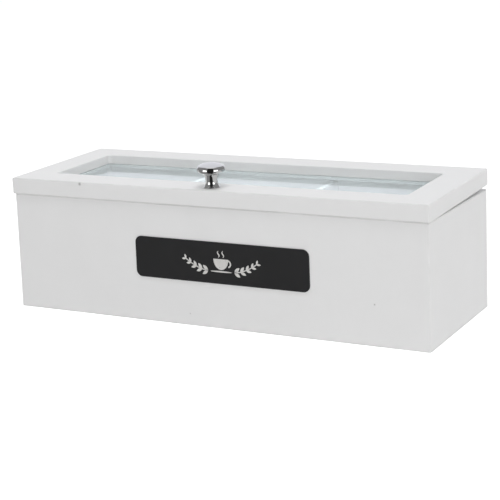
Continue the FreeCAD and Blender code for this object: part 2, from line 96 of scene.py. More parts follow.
def blend_colours(add, factor, first, second):
    """A colour between two colours."""
    mix = add("ShaderNodeMix", {"Factor": factor, MIX_FIRST: first, MIX_SECOND: second},
              data_type="RGBA")
    return mix.outputs[MIX_RESULT]


def ray_kinds(add):
    """Whether a ray is a mirror image, and whether it comes from the camera, straight or through glass."""
    path = add("ShaderNodeLightPath").outputs
    reflected = add("ShaderNodeMath", {0: path["Is Glossy Ray"], 1: path["Is Transmission Ray"]},
                    operation="SUBTRACT", use_clamp=True)
    plain = add("ShaderNodeMath", {0: path["Is Camera Ray"], 1: path["Is Transmission Ray"]},
                operation="MAXIMUM")
    return reflected.outputs[0], plain.outputs[0]


FLOOR_SIZE = 12
FLOOR_COLOUR = (0.80, 0.80, 0.80, 1)
FLOOR_GLOW = 0.75
half = FLOOR_SIZE / 2
floor_mesh = bpy.data.meshes.new("floor")
floor_mesh.from_pydata([(-half, -half, 0), (half, -half, 0), (half, half, 0), (-half, half, 0)], [],
                       [(0, 1, 2, 3)])
floor = bpy.data.objects.new("floor", floor_mesh)
bpy.context.scene.collection.objects.link(floor)
floor_paper = bpy.data.materials.new("floor_paper")
floor_paper.use_nodes = True
add = new_nodes(floor_paper.node_tree)
paper = add("ShaderNodeBsdfDiffuse", {"Color": FLOOR_COLOUR})
glow = add("ShaderNodeEmission", {"Color": (1, 1, 1, 1), "Strength": FLOOR_GLOW})
lit = add("ShaderNodeAddShader", {0: paper.outputs[0], 1: glow.outputs[0]})
unseen = add("ShaderNodeBsdfTransparent")
reflected, plain = ray_kinds(add)
seen = add("ShaderNodeMixShader", {0: plain, 1: paper.outputs[0], 2: lit.outputs[0]})
mirrored = add("ShaderNodeMixShader", {0: reflected, 1: seen.outputs[0], 2: unseen.outputs[0]})
add("ShaderNodeOutputMaterial", {"Surface": mirrored.outputs[0]})
floor_mesh.materials.append(floor_paper)

TENT_LOW, TENT_TOP = (0.22, 0.22, 0.22, 1), (0.34, 0.34, 0.34, 1)
ROOM_TOP = (0.95, 0.95, 0.95, 1)
BACKDROP = (1, 1, 1, 1)
# How far up the room's walls turn into its ceiling, as the sine of the height
CEILING_START, CEILING_FULL = 0.86, 0.95
ROOM_BACK, ROOM_SIDE, ROOM_DARK = (0.97, 0.98, 1.04, 1), (0.30, 0.30, 0.30, 1), (0.02, 0.02, 0.02, 1)
# Bearings round the object from the camera's, in degrees, and what the room shows there
ROOM_STOPS = ((-148, ROOM_BACK), (-139, ROOM_SIDE), (-38, ROOM_SIDE), (-32, ROOM_DARK),
              (18, ROOM_DARK), (24, ROOM_SIDE), (139, ROOM_SIDE), (148, ROOM_BACK))
camera_bearing = math.atan2(CAMERA_PLACE.y, CAMERA_PLACE.x)
forward = (math.cos(camera_bearing), math.sin(camera_bearing), 0)
sideward = (-math.sin(camera_bearing), math.cos(camera_bearing), 0)
world = bpy.data.worlds.new("studio")
bpy.context.scene.world = world
world.use_nodes = True
add = new_nodes(world.node_tree)
towards = add("ShaderNodeTexCoord").outputs["Generated"]
height = add("ShaderNodeSeparateXYZ", {"Vector": towards}).outputs["Z"]
ahead = add("ShaderNodeVectorMath", {0: towards, 1: forward}, operation="DOT_PRODUCT").outputs["Value"]
aside = add("ShaderNodeVectorMath", {0: towards, 1: sideward}, operation="DOT_PRODUCT").outputs["Value"]
bearing = add("ShaderNodeMath", {0: aside, 1: ahead}, operation="ARCTAN2").outputs[0]
round_share = add("ShaderNodeMapRange", {"Value": bearing, "From Min": -math.pi, "From Max": math.pi})
walls = add("ShaderNodeValToRGB", {"Fac": round_share.outputs["Result"]})
while len(walls.color_ramp.elements) < len(ROOM_STOPS):
    walls.color_ramp.elements.new(0.5)
for stop, (degrees, colour) in zip(walls.color_ramp.elements, ROOM_STOPS):
    stop.position = degrees / 360 + 0.5
    stop.color = colour
overhead = add("ShaderNodeMapRange", {"Value": height, "From Min": CEILING_START, "From Max": CEILING_FULL},
               interpolation_type="SMOOTHSTEP")
room = blend_colours(add, overhead.outputs["Result"], walls.outputs["Color"], ROOM_TOP)
tent = blend_colours(add, height, TENT_LOW, TENT_TOP)
reflected, plain = ray_kinds(add)
shown = blend_colours(add, plain, blend_colours(add, reflected, tent, room), BACKDROP)
air = add("ShaderNodeBackground", {"Color": shown, "Strength": 1.0})
add("ShaderNodeOutputWorld", {"Surface": air.outputs["Background"]})


def soft_box(name, turn, lift, distance, width, height, radiance, mirrored=True, lights=True,
             seen_through=True):
    """A rectangular lamp that faces the object. turn is its bearing from the camera's, in degrees.
    It can be kept out of mirror images, out of the object's own light and out of views through glass."""
    lamp = bpy.data.lights.new(name, "AREA")
    lamp.shape = "RECTANGLE"
    lamp.size, lamp.size_y = width, height
    lamp.energy = radiance * math.pi * width * height
    bearing = camera_bearing + math.radians(turn)
    level = math.cos(math.radians(lift))
    way = Vector((math.cos(bearing) * level, math.sin(bearing) * level, math.sin(math.radians(lift))))
    holder = bpy.data.objects.new(name, lamp)
    bpy.context.scene.collection.objects.link(holder)
    holder.location = way * distance
    holder.rotation_euler = way.to_track_quat("Z", "Y").to_euler()
    holder.visible_camera = False
    holder.visible_glossy, holder.visible_diffuse = mirrored, lights
    holder.visible_transmission = seen_through


soft_box("left_soft_box", -51, 3, 1.5, 0.90, 0.80, 2.4, lights=False)
soft_box("right_soft_box", 38.5, 3, 1.5, 0.90, 0.80, 2.4, lights=False)
soft_box("high_fill", 3, 75, 1.8, 1.30, 0.80, 4.1, mirrored=False)
soft_box("front_fill", 3, 18, 1.6, 0.90, 0.60, 3.4, mirrored=False)
soft_box("left_fill", -50, 10, 1.6, 0.90, 0.60, 0.5, mirrored=False)
soft_box("side_fill", 78, 8, 1.6, 0.80, 0.60, 3.9, mirrored=False)
soft_box("back_fill", -155, 22, 1.7, 1.20, 0.60, 2.2, mirrored=False, seen_through=False)

# Painted boards
# The walls, base and dividers are fibreboard, sawn square, with their outer arrises rounded over.
# They are glued and pinned together and sprayed with white eggshell paint, inside and out.
PAINT = (0.90, 0.90, 0.90, 1)
# Paint at the arrises: partly worn thin, partly painted shade that tones down the arris highlights
PAINT_THIN_AND_SHADED = (0.77, 0.768, 0.763, 1)
# Painted shade: a darker copy of the paint for the beads inside the lid
PAINT_BEAD_SHADE = (0.66, 0.66, 0.66, 1)
# Dark specks in the paint, and painted shadow at the front wall's top right corner
PAINT_SPECK_AND_SHADE = (0.16, 0.15, 0.14, 1)
PAINT_ROUGHNESS, PAINT_SHEEN = 0.45, 0.4
PEEL_SIZE, MOTTLE_SIZE = 0.9 * MM, 22 * MM
PEEL_HEIGHT = 0.006 * MM
MOTTLE_DARK, MOTTLE_PALE = 0.975, 1.02
MOTTLE_GLOSSY, MOTTLE_DULL = -0.05, 0.06
WEAR_WIDTH, WEAR_GRAIN = 1.0 * MM, 60.0
WEAR_PATCH_START, WEAR_PATCH_FULL = 0.30, 0.56


def new_group(name, inputs, outputs):
    """A shader node group with named sockets, and the ways to add to it and to read it."""
    group = bpy.data.node_groups.new(name, "ShaderNodeTree")
    for label, kind in inputs:
        group.interface.new_socket(label, in_out="INPUT", socket_type=f"NodeSocket{kind}")
    for label, kind in outputs:
        group.interface.new_socket(label, in_out="OUTPUT", socket_type=f"NodeSocket{kind}")
    add_node = new_nodes(group)
    entry = add_node("NodeGroupInput")
    return group, add_node, entry.outputs


def paint_skin_group():
    """Sprayed paint: a fine orange peel as height, and a slow drift of its tone and gloss."""
    group, add_node, given = new_group(
        "paint_skin", [("Vector", "Vector"), ("Peel Size", "Float"), ("Mottle Size", "Float")],
        [("Height", "Float"), ("Mottle", "Float")])
    peel_scale = add_node("ShaderNodeMath", {0: 1.0, 1: given["Peel Size"]}, operation="DIVIDE")
    mottle_scale = add_node("ShaderNodeMath", {0: 1.0, 1: given["Mottle Size"]}, operation="DIVIDE")
    peel = add_node("ShaderNodeTexNoise", {"Vector": given["Vector"], "Scale": peel_scale.outputs[0],
                                           "Detail": 2.0, "Roughness": 0.45})
    mottle = add_node("ShaderNodeTexNoise", {"Vector": given["Vector"], "Scale": mottle_scale.outputs[0],
                                             "Detail": 3.0, "Roughness": 0.55})
    add_node("NodeGroupOutput", {"Height": peel.outputs["Fac"], "Mottle": mottle.outputs["Fac"]})
    return group


def edge_wear_and_shade_group():
    """How near a point is to an edge of a box with the given corners: 1 on the arris, 0 away from it."""
    group, add_node, given = new_group(
        "edge_wear_and_shade", [("Vector", "Vector"), ("Low", "Vector"), ("High", "Vector"), ("Width", "Float"),
                       ("Grain", "Float")], [("Wear", "Float")])
    below = add_node("ShaderNodeVectorMath", {0: given["Vector"], 1: given["Low"]}, operation="SUBTRACT")
    above = add_node("ShaderNodeVectorMath", {0: given["High"], 1: given["Vector"]}, operation="SUBTRACT")
    inside = add_node("ShaderNodeVectorMath", {0: below.outputs[0], 1: above.outputs[0]},
                      operation="MINIMUM")
    depth = add_node("ShaderNodeSeparateXYZ", {"Vector": inside.outputs[0]})
    x, y, z = depth.outputs
    pair_low = add_node("ShaderNodeMath", {0: x, 1: y}, operation="MINIMUM")
    pair_high = add_node("ShaderNodeMath", {0: x, 1: y}, operation="MAXIMUM")
    third = add_node("ShaderNodeMath", {0: pair_low.outputs[0], 1: z}, operation="MAXIMUM")
    middle = add_node("ShaderNodeMath", {0: pair_high.outputs[0], 1: third.outputs[0]}, operation="MINIMUM")
    near = add_node("ShaderNodeMapRange", {"Value": middle.outputs[0], "From Min": 0.0,
                                           "From Max": given["Width"], "To Min": 1.0, "To Max": 0.0},
                    interpolation_type="SMOOTHSTEP")
    patch = add_node("ShaderNodeTexNoise", {"Vector": given["Vector"], "Scale": given["Grain"],
                                            "Detail": 4.0, "Roughness": 0.6})
    patchy = add_node("ShaderNodeMapRange", {"Value": patch.outputs["Fac"], "From Min": WEAR_PATCH_START,
                                             "From Max": WEAR_PATCH_FULL})
    wear_and_shade = add_node("ShaderNodeMath", {0: near.outputs["Result"], 1: patchy.outputs["Result"]},
                    operation="MULTIPLY")
    add_node("NodeGroupOutput", {"Wear": wear_and_shade.outputs[0]})
    return group


def round_mark_group():
    """A round mark with a soft edge at one place: 1 in it and 0 outside, over the marks before it."""
    group, add_node, given = new_group(
        "round_mark", [("Vector", "Vector"), ("Place", "Vector"), ("Radius", "Float"), ("Strength", "Float"),
                  ("Before", "Float")], [("Mask", "Float")])
    away = add_node("ShaderNodeVectorMath", {0: given["Vector"], 1: given["Place"]}, operation="DISTANCE")
    mark = add_node("ShaderNodeMapRange", {"Value": away.outputs["Value"], "From Min": given["Radius"],
                                           "From Max": 0.0, "To Min": 0.0, "To Max": given["Strength"]},
                    interpolation_type="SMOOTHSTEP")
    most = add_node("ShaderNodeMath", {0: mark.outputs["Result"], 1: given["Before"]}, operation="MAXIMUM")
    add_node("NodeGroupOutput", {"Mask": most.outputs[0]})
    return group


PAINT_SKIN, EDGE_WEAR_AND_SHADE, ROUND_MARK = paint_skin_group(), edge_wear_and_shade_group(), round_mark_group()


def use_group(add_node, group, inputs):
    """Puts a group into a tree and returns its outputs."""
    return add_node("ShaderNodeGroup", inputs, node_tree=group).outputs


def node_box(node, turn=Matrix()):
    """The lowest and highest corner of a CAD node, after a turn of its points."""
    points = [turn @ vertex.co for vertex in frame["nodes"][node].data.vertices]
    return (Vector(min(p[i] for p in points) for i in range(3)),
            Vector(max(p[i] for p in points) for i in range(3)))


def painted_board(name, low, high, turn=Matrix(), marks_and_shade=(), paint=PAINT):
    """Paint on one board. low and high are its corners once turn has set it level. The marks are dark
    spots in its paint, real specks and painted shadow, each with its place on the level board, radius
    and strength. Its arrises are darker, partly paint worn thin and partly painted shade that tones
    down their highlights."""
    material = bpy.data.materials.new(f"paint_{name}")
    material.use_nodes = True
    add_node = new_nodes(material.node_tree)
    place = add_node("ShaderNodeTexCoord").outputs["Object"]
    mapping = add_node("ShaderNodeMapping", {"Vector": place, "Location": turn.to_translation(),
                                             "Rotation": turn.to_euler()})
    place = mapping.outputs["Vector"]
    skin = use_group(add_node, PAINT_SKIN, {"Vector": place, "Peel Size": PEEL_SIZE,
                                            "Mottle Size": MOTTLE_SIZE})
    wear_and_shade = use_group(add_node, EDGE_WEAR_AND_SHADE, {"Vector": place, "Low": low, "High": high,
                                            "Width": WEAR_WIDTH, "Grain": WEAR_GRAIN})["Wear"]
    tone = add_node("ShaderNodeMapRange", {"Value": skin["Mottle"], "To Min": MOTTLE_DARK,
                                           "To Max": MOTTLE_PALE})
    coat = add_node("ShaderNodeVectorMath", {0: paint[:3], "Scale": tone.outputs["Result"]},
                    operation="SCALE")
    # The arrises darken: partly paint worn thin, partly painted shade that tones down their highlights
    colour = blend_colours(add_node, wear_and_shade, coat.outputs[0], PAINT_THIN_AND_SHADED)
    mask = None
    for spot, radius, strength in marks_and_shade:
        mask = use_group(add_node, ROUND_MARK, {"Vector": place, "Place": spot, "Radius": radius,
                                           "Strength": strength, "Before": mask or 0.0})["Mask"]
    if mask:
        colour = blend_colours(add_node, mask, colour, PAINT_SPECK_AND_SHADE)
    gloss = add_node("ShaderNodeMapRange", {"Value": skin["Mottle"],
                                            "To Min": PAINT_ROUGHNESS + MOTTLE_GLOSSY,
                                            "To Max": PAINT_ROUGHNESS + MOTTLE_DULL})
    bump = add_node("ShaderNodeBump", {"Height": skin["Height"], "Distance": PEEL_HEIGHT, "Strength": 1.0})
    film = add_node("ShaderNodeBsdfPrincipled", {
        "Base Color": colour, "Roughness": gloss.outputs["Result"], "Specular IOR Level": PAINT_SHEEN,
        "Normal": bump.outputs["Normal"]})
    add_node("ShaderNodeOutputMaterial", {"Surface": film.outputs["BSDF"]})
    return material


def set_material(node, material):
    """Gives every slot of a CAD node's mesh the material."""
    mesh = frame["nodes"][node].data
    if not mesh.materials:
        mesh.materials.append(material)
    for number in range(len(mesh.materials)):
        mesh.materials[number] = material


BOX_BOARDS = ("front_panel", "back_panel", "left_end_panel", "right_end_panel", "base_panel",
              "left_divider", "right_divider")
front_low, front_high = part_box("front_panel")
# Two specks in the paint, then painted shadow at the top right corner, where the gap under the lid shades
# the wall
FRONT_SPECKS_AND_SHADE = ((Vector((91 * MM, front_low.y, 21 * MM)), 0.7 * MM, 0.5),
                (Vector((-12 * MM, front_low.y, 6.2 * MM)), 0.6 * MM, 0.35),
                (Vector((front_high.x, front_low.y, front_high.z)), 1.2 * MM, 0.45))
for board in BOX_BOARDS:
    low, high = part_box(board)
    if board.endswith("end_panel"):
        # The long walls lap over its ends, so that only its top arris shows
        low.y, high.y = front_low.y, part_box("back_panel")[1].y
    marks_and_shade = FRONT_SPECKS_AND_SHADE if board == "front_panel" else ()
    set_material(board, painted_board(board, low, high, marks_and_shade=marks_and_shade))

# Brads
# Ten small steel brads hold the base up in its step. Their flat heads lie flush with its underside.
# They are drawn wire with a bright zinc coat.
ZINC, ZINC_ROUGHNESS, ZINC_GRAIN = (0.56, 0.57, 0.58, 1), 0.32, 0.25 * MM
GRAIN_STRETCH, SMUDGE_SIZE, SCRATCH_DEPTH = 0.06, 5 * MM, 0.01 * MM
GRAIN_LOW, GRAIN_HIGH = 0.6, 1.4
GRAIN_GLOSSY, GRAIN_DULL = -0.08, 0.12
GRAIN_PALE, GRAIN_DARK = 1.08, 0.86


def steel_finish(name, colour, roughness, grain_size, along, scratch=0.25):
    """Metal with a fine drawn or brushed grain that runs along one axis."""
    material = bpy.data.materials.new(name)
    material.use_nodes = True
    add_node = new_nodes(material.node_tree)
    place = add_node("ShaderNodeTexCoord").outputs["Object"]
    stretch = [GRAIN_STRETCH if axis == along else 1.0 for axis in "XYZ"]
    lines = add_node("ShaderNodeMapping", {"Vector": place, "Scale": stretch})
    grain = add_node("ShaderNodeTexNoise", {"Vector": lines.outputs["Vector"], "Scale": 1 / grain_size,
                                            "Detail": 3.0, "Roughness": 0.6})
    smudge = add_node("ShaderNodeTexNoise", {"Vector": place, "Scale": 1 / SMUDGE_SIZE, "Detail": 2.0})
    both = add_node("ShaderNodeMath", {0: grain.outputs["Fac"], 1: smudge.outputs["Fac"]}, operation="ADD")
    sheen = add_node("ShaderNodeMapRange", {
        "Value": both.outputs[0], "From Min": GRAIN_LOW, "From Max": GRAIN_HIGH,
        "To Min": roughness + GRAIN_GLOSSY, "To Max": roughness + GRAIN_DULL})
    tone = add_node("ShaderNodeMapRange", {
        "Value": both.outputs[0], "From Min": GRAIN_LOW, "From Max": GRAIN_HIGH,
        "To Min": GRAIN_PALE, "To Max": GRAIN_DARK})
    tint = add_node("ShaderNodeVectorMath", {0: colour[:3], "Scale": tone.outputs["Result"]},
                    operation="SCALE")
    bump = add_node("ShaderNodeBump", {"Height": grain.outputs["Fac"], "Distance": SCRATCH_DEPTH,
                                       "Strength": scratch})
    metal = add_node("ShaderNodeBsdfPrincipled", {"Base Color": tint.outputs[0], "Metallic": 1.0,
                                                  "Roughness": sheen.outputs["Result"],
                                                  "Normal": bump.outputs["Normal"]})
    add_node("ShaderNodeOutputMaterial", {"Surface": metal.outputs["BSDF"]})
    return material


zinc = steel_finish("bright_zinc", ZINC, ZINC_ROUGHNESS, ZINC_GRAIN, "Z")
set_material("base_brads", zinc)

# Label plate
# A thin plate with rounded corners, glued to the front wall and stove enamelled matt black.
BLACK = (0.0225, 0.0225, 0.0235, 1)
BLACK_RUBBED = (0.06, 0.06, 0.062, 1)
RUB_WIDTH, RUB_GRAIN = 0.35 * MM, 300.0
FLECK_SIZE, FLECK_HEIGHT, FLECK_STRENGTH = 0.5 * MM, 0.01 * MM, 0.6
CLOUD_SIZE, CLOUD_DARK, CLOUD_PALE = 18 * MM, 0.85, 1.2
ENAMEL_GLOSSY, ENAMEL_DULL, ENAMEL_SHEEN = 0.5, 0.62, 0.15
plate_low, plate_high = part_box("label_plate")
black_enamel = bpy.data.materials.new("black_enamel")
black_enamel.use_nodes = True
add = new_nodes(black_enamel.node_tree)
place = add("ShaderNodeTexCoord").outputs["Object"]
fleck = add("ShaderNodeTexNoise", {"Vector": place, "Scale": 1 / FLECK_SIZE, "Detail": 3.0})
cloud = add("ShaderNodeTexNoise", {"Vector": place, "Scale": 1 / CLOUD_SIZE, "Detail": 3.0})
rub = use_group(add, EDGE_WEAR_AND_SHADE, {"Vector": place, "Low": plate_low, "High": plate_high,
                                  "Width": RUB_WIDTH, "Grain": RUB_GRAIN})["Wear"]
shade = add("ShaderNodeMapRange", {"Value": cloud.outputs["Fac"], "To Min": CLOUD_DARK,
                                   "To Max": CLOUD_PALE})
black = add("ShaderNodeVectorMath", {0: BLACK[:3], "Scale": shade.outputs["Result"]}, operation="SCALE")
rubbed = blend_colours(add, rub, black.outputs[0], BLACK_RUBBED)
sheen = add("ShaderNodeMapRange", {"Value": cloud.outputs["Fac"], "To Min": ENAMEL_GLOSSY,
                                   "To Max": ENAMEL_DULL})
bump = add("ShaderNodeBump", {"Height": fleck.outputs["Fac"], "Distance": FLECK_HEIGHT,
                              "Strength": FLECK_STRENGTH})
enamel = add("ShaderNodeBsdfPrincipled", {
    "Base Color": rubbed, "Roughness": sheen.outputs["Result"], "Specular IOR Level": ENAMEL_SHEEN,
    "Normal": bump.outputs["Normal"]})
add("ShaderNodeOutputMaterial", {"Surface": enamel.outputs["BSDF"]})
set_material("label_plate", black_enamel)

# Printed motif
# A steaming cup between two sprigs of leaves, screen printed on the plate in thick white ink.
# The ink is a little worn and patchy.
INK, INK_WORN = (0.74, 0.73, 0.71, 1), (0.10, 0.10, 0.10, 1)
INK_PATCH_SIZE, INK_WORN_START, INK_WORN_FULL = 1.1 * MM, 0.60, 0.72
INK_BODY_SIZE, INK_BODY_DARK, INK_BODY_PALE = 4 * MM, 0.86, 1.06
INK_ROUGHNESS, INK_BUMP, INK_BUMP_STRENGTH = 0.6, 0.02 * MM, 0.5
INK_THICKNESS, HANDLE_INK_SHARE = 0.05 * MM, 0.8
CUP_RIM, CUP_HEIGHT, CUP_FOOT, CUP_STEPS = 4.3 * MM, 5.6 * MM, 1.7 * MM, 28
HANDLE_RADIUS, HANDLE_STROKE, HANDLE_STEPS = 1.75 * MM, 0.75 * MM, 18
HANDLE_START, HANDLE_END = -75, 80
HANDLE_DROP, HANDLE_SINK = 2.3 * MM, 0.55 * MM
SAUCER_LENGTH, SAUCER_THICKNESS, SAUCER_DROP, SAUCER_STEPS = 12.4 * MM, 0.8 * MM, 0.55 * MM, 24
STEAM_HEIGHT, STEAM_SWAY, STEAM_STROKE, STEAM_SPACING = 3.4 * MM, 0.45 * MM, 0.65 * MM, 2.6 * MM
STEAM_LIFT, STEAM_STEPS, STROKE_TIP_SHARE = 0.8 * MM, 16, 0.35
SPRIG_START, SPRIG_MIDDLE, SPRIG_END = (7.6, -3.9), (13.5, -3.6), (20.3, 1.3)
LEAF_LENGTH, LEAF_WIDTH, LEAF_LEAN, LEAF_PAIRS = 3.9 * MM, 1.75 * MM, math.radians(38), 5
LEAF_SIDES, LEAF_TIP_SHARE = 20, 0.62
STEM_WIDTH, STEM_STEPS = 0.55 * MM, 24
MOTIF_MIDDLE = Vector((7.6 * MM, plate_low.y, 34.2 * MM))
CUP_FLOOR = -3.1 * MM

ink = bpy.data.materials.new("worn_ink")
ink.use_nodes = True
add = new_nodes(ink.node_tree)
place = add("ShaderNodeTexCoord").outputs["Object"]
patch = add("ShaderNodeTexNoise", {"Vector": place, "Scale": 1 / INK_PATCH_SIZE, "Detail": 5.0,
                                   "Roughness": 0.7})
worn = add("ShaderNodeMapRange", {"Value": patch.outputs["Fac"], "From Min": INK_WORN_START,
                                  "From Max": INK_WORN_FULL})
body = add("ShaderNodeTexNoise", {"Vector": place, "Scale": 1 / INK_BODY_SIZE, "Detail": 2.0})
thin = add("ShaderNodeMapRange", {"Value": body.outputs["Fac"], "To Min": INK_BODY_DARK,
                                  "To Max": INK_BODY_PALE})
full = add("ShaderNodeVectorMath", {0: INK[:3], "Scale": thin.outputs["Result"]}, operation="SCALE")
tone = blend_colours(add, worn.outputs["Result"], full.outputs[0], INK_WORN)
bump = add("ShaderNodeBump", {"Height": patch.outputs["Fac"], "Distance": INK_BUMP,
                              "Strength": INK_BUMP_STRENGTH})
coat = add("ShaderNodeBsdfPrincipled", {"Base Color": tone, "Roughness": INK_ROUGHNESS,
                                        "Normal": bump.outputs["Normal"]})
add("ShaderNodeOutputMaterial", {"Surface": coat.outputs["BSDF"]})

ink_points, ink_faces = [], []


def print_shape(outline, thickness):
    """Lays a closed shape, drawn on the plate about the motif's middle, as a film of ink.
    The outline runs against the clock."""
    first, count = len(ink_points), len(outline)
    for depth in (0, -thickness):
        ink_points.extend(MOTIF_MIDDLE + Vector((x, depth, z)) for x, z in outline)
    ink_faces.append([first + count + number for number in range(count)])
    ink_faces.append([first + number for number in reversed(range(count))])
    for number in range(count):
        after = (number + 1) % count
        ink_faces.append([first + number, first + after, first + count + after, first + count + number])


def arc_points(x, z, reach_x, reach_z, start, finish, steps):
    """Points of an arc about (x, z), by angles in degrees."""
    angles = [math.radians(start + (finish - start) * step / steps) for step in range(steps + 1)]
    return [(x + reach_x * math.cos(angle), z + reach_z * math.sin(angle)) for angle in angles]


def ribbon(line, width):
    """The outline of a stroke along a line of points, tapered towards both ends."""
    left, right = [], []
    for number, (x, z) in enumerate(line):
        before, after = line[max(number - 1, 0)], line[min(number + 1, len(line) - 1)]
        along = Vector((after[0] - before[0], after[1] - before[1])).normalized()
        belly = math.sin(math.pi * number / (len(line) - 1))
        taper = STROKE_TIP_SHARE + (1 - STROKE_TIP_SHARE) * belly
        left.append((x - along.y * width * taper / 2, z + along.x * width * taper / 2))
        right.append((x + along.y * width * taper / 2, z - along.x * width * taper / 2))
    return right + left[::-1]


cup_top = CUP_FLOOR + CUP_HEIGHT
bowl = arc_points(0, cup_top, CUP_RIM, CUP_HEIGHT, 180, 360, CUP_STEPS)
bowl = [(x, max(z, CUP_FLOOR)) for x, z in bowl if z > CUP_FLOOR or abs(x) < CUP_FOOT]
print_shape(bowl, INK_THICKNESS)
handle_middle = cup_top - HANDLE_DROP
outer = HANDLE_RADIUS + HANDLE_STROKE / 2
inner = HANDLE_RADIUS - HANDLE_STROKE / 2
handle_x = CUP_RIM - HANDLE_SINK
handle = arc_points(handle_x, handle_middle, outer, outer, HANDLE_START, HANDLE_END, HANDLE_STEPS)
handle += arc_points(handle_x, handle_middle, inner, inner, HANDLE_END, HANDLE_START, HANDLE_STEPS)
print_shape(handle, INK_THICKNESS * HANDLE_INK_SHARE)
saucer_z = CUP_FLOOR - SAUCER_DROP - SAUCER_THICKNESS / 2
saucer = arc_points(0, saucer_z, SAUCER_LENGTH / 2, SAUCER_THICKNESS / 2, 0, 360, SAUCER_STEPS)
print_shape(saucer[:-1], INK_THICKNESS)
for side in (-1, 1):
    sway = [(side * STEAM_SPACING / 2 + STEAM_SWAY * math.sin(math.tau * step / STEAM_STEPS),
             cup_top + STEAM_LIFT + STEAM_HEIGHT * step / STEAM_STEPS) for step in range(STEAM_STEPS + 1)]
    print_shape(ribbon(sway, STEAM_STROKE), INK_THICKNESS)
cup_mesh = bpy.data.meshes.new("printed_cup")
cup_mesh.from_pydata(ink_points, [], ink_faces)
cup_mesh.materials.append(ink)
printed_cup = bpy.data.objects.new("printed_cup", cup_mesh)
bpy.context.scene.collection.objects.link(printed_cup)
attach(printed_cup, "box")


def new_tree(name, inputs):
    """A Geometry Nodes tree with named inputs, the ways to add to it and read it, and the
    identifiers that its modifier's inputs go by."""
    tree = bpy.data.node_groups.new(name, "GeometryNodeTree")
    tree.interface.new_socket("Geometry", in_out="INPUT", socket_type="NodeSocketGeometry")
    keys = {}
    for label, kind in inputs:
        socket = tree.interface.new_socket(label, in_out="INPUT", socket_type=f"NodeSocket{kind}")
        keys[label] = socket.identifier
    tree.interface.new_socket("Geometry", in_out="OUTPUT", socket_type="NodeSocketGeometry")
    add_node = new_nodes(tree)
    return tree, add_node, add_node("NodeGroupInput").outputs, keys


def grown(name, tree, keys, settings, seed_mesh=None):
    """The plain mesh object that a tree makes with these settings."""
    maker = bpy.data.objects.new(name, seed_mesh or bpy.data.meshes.new(name))
    bpy.context.scene.collection.objects.link(maker)
    modifier = maker.modifiers.new("grow", "NODES")
    modifier.node_group = tree
    for label, setting in settings.items():
        modifier[keys[label]] = setting
    ready = maker.evaluated_get(bpy.context.evaluated_depsgraph_get())
    mesh = bpy.data.meshes.new_from_object(ready)
    maker.modifiers.clear()
    maker.data = mesh
    mesh.name = name
    return maker


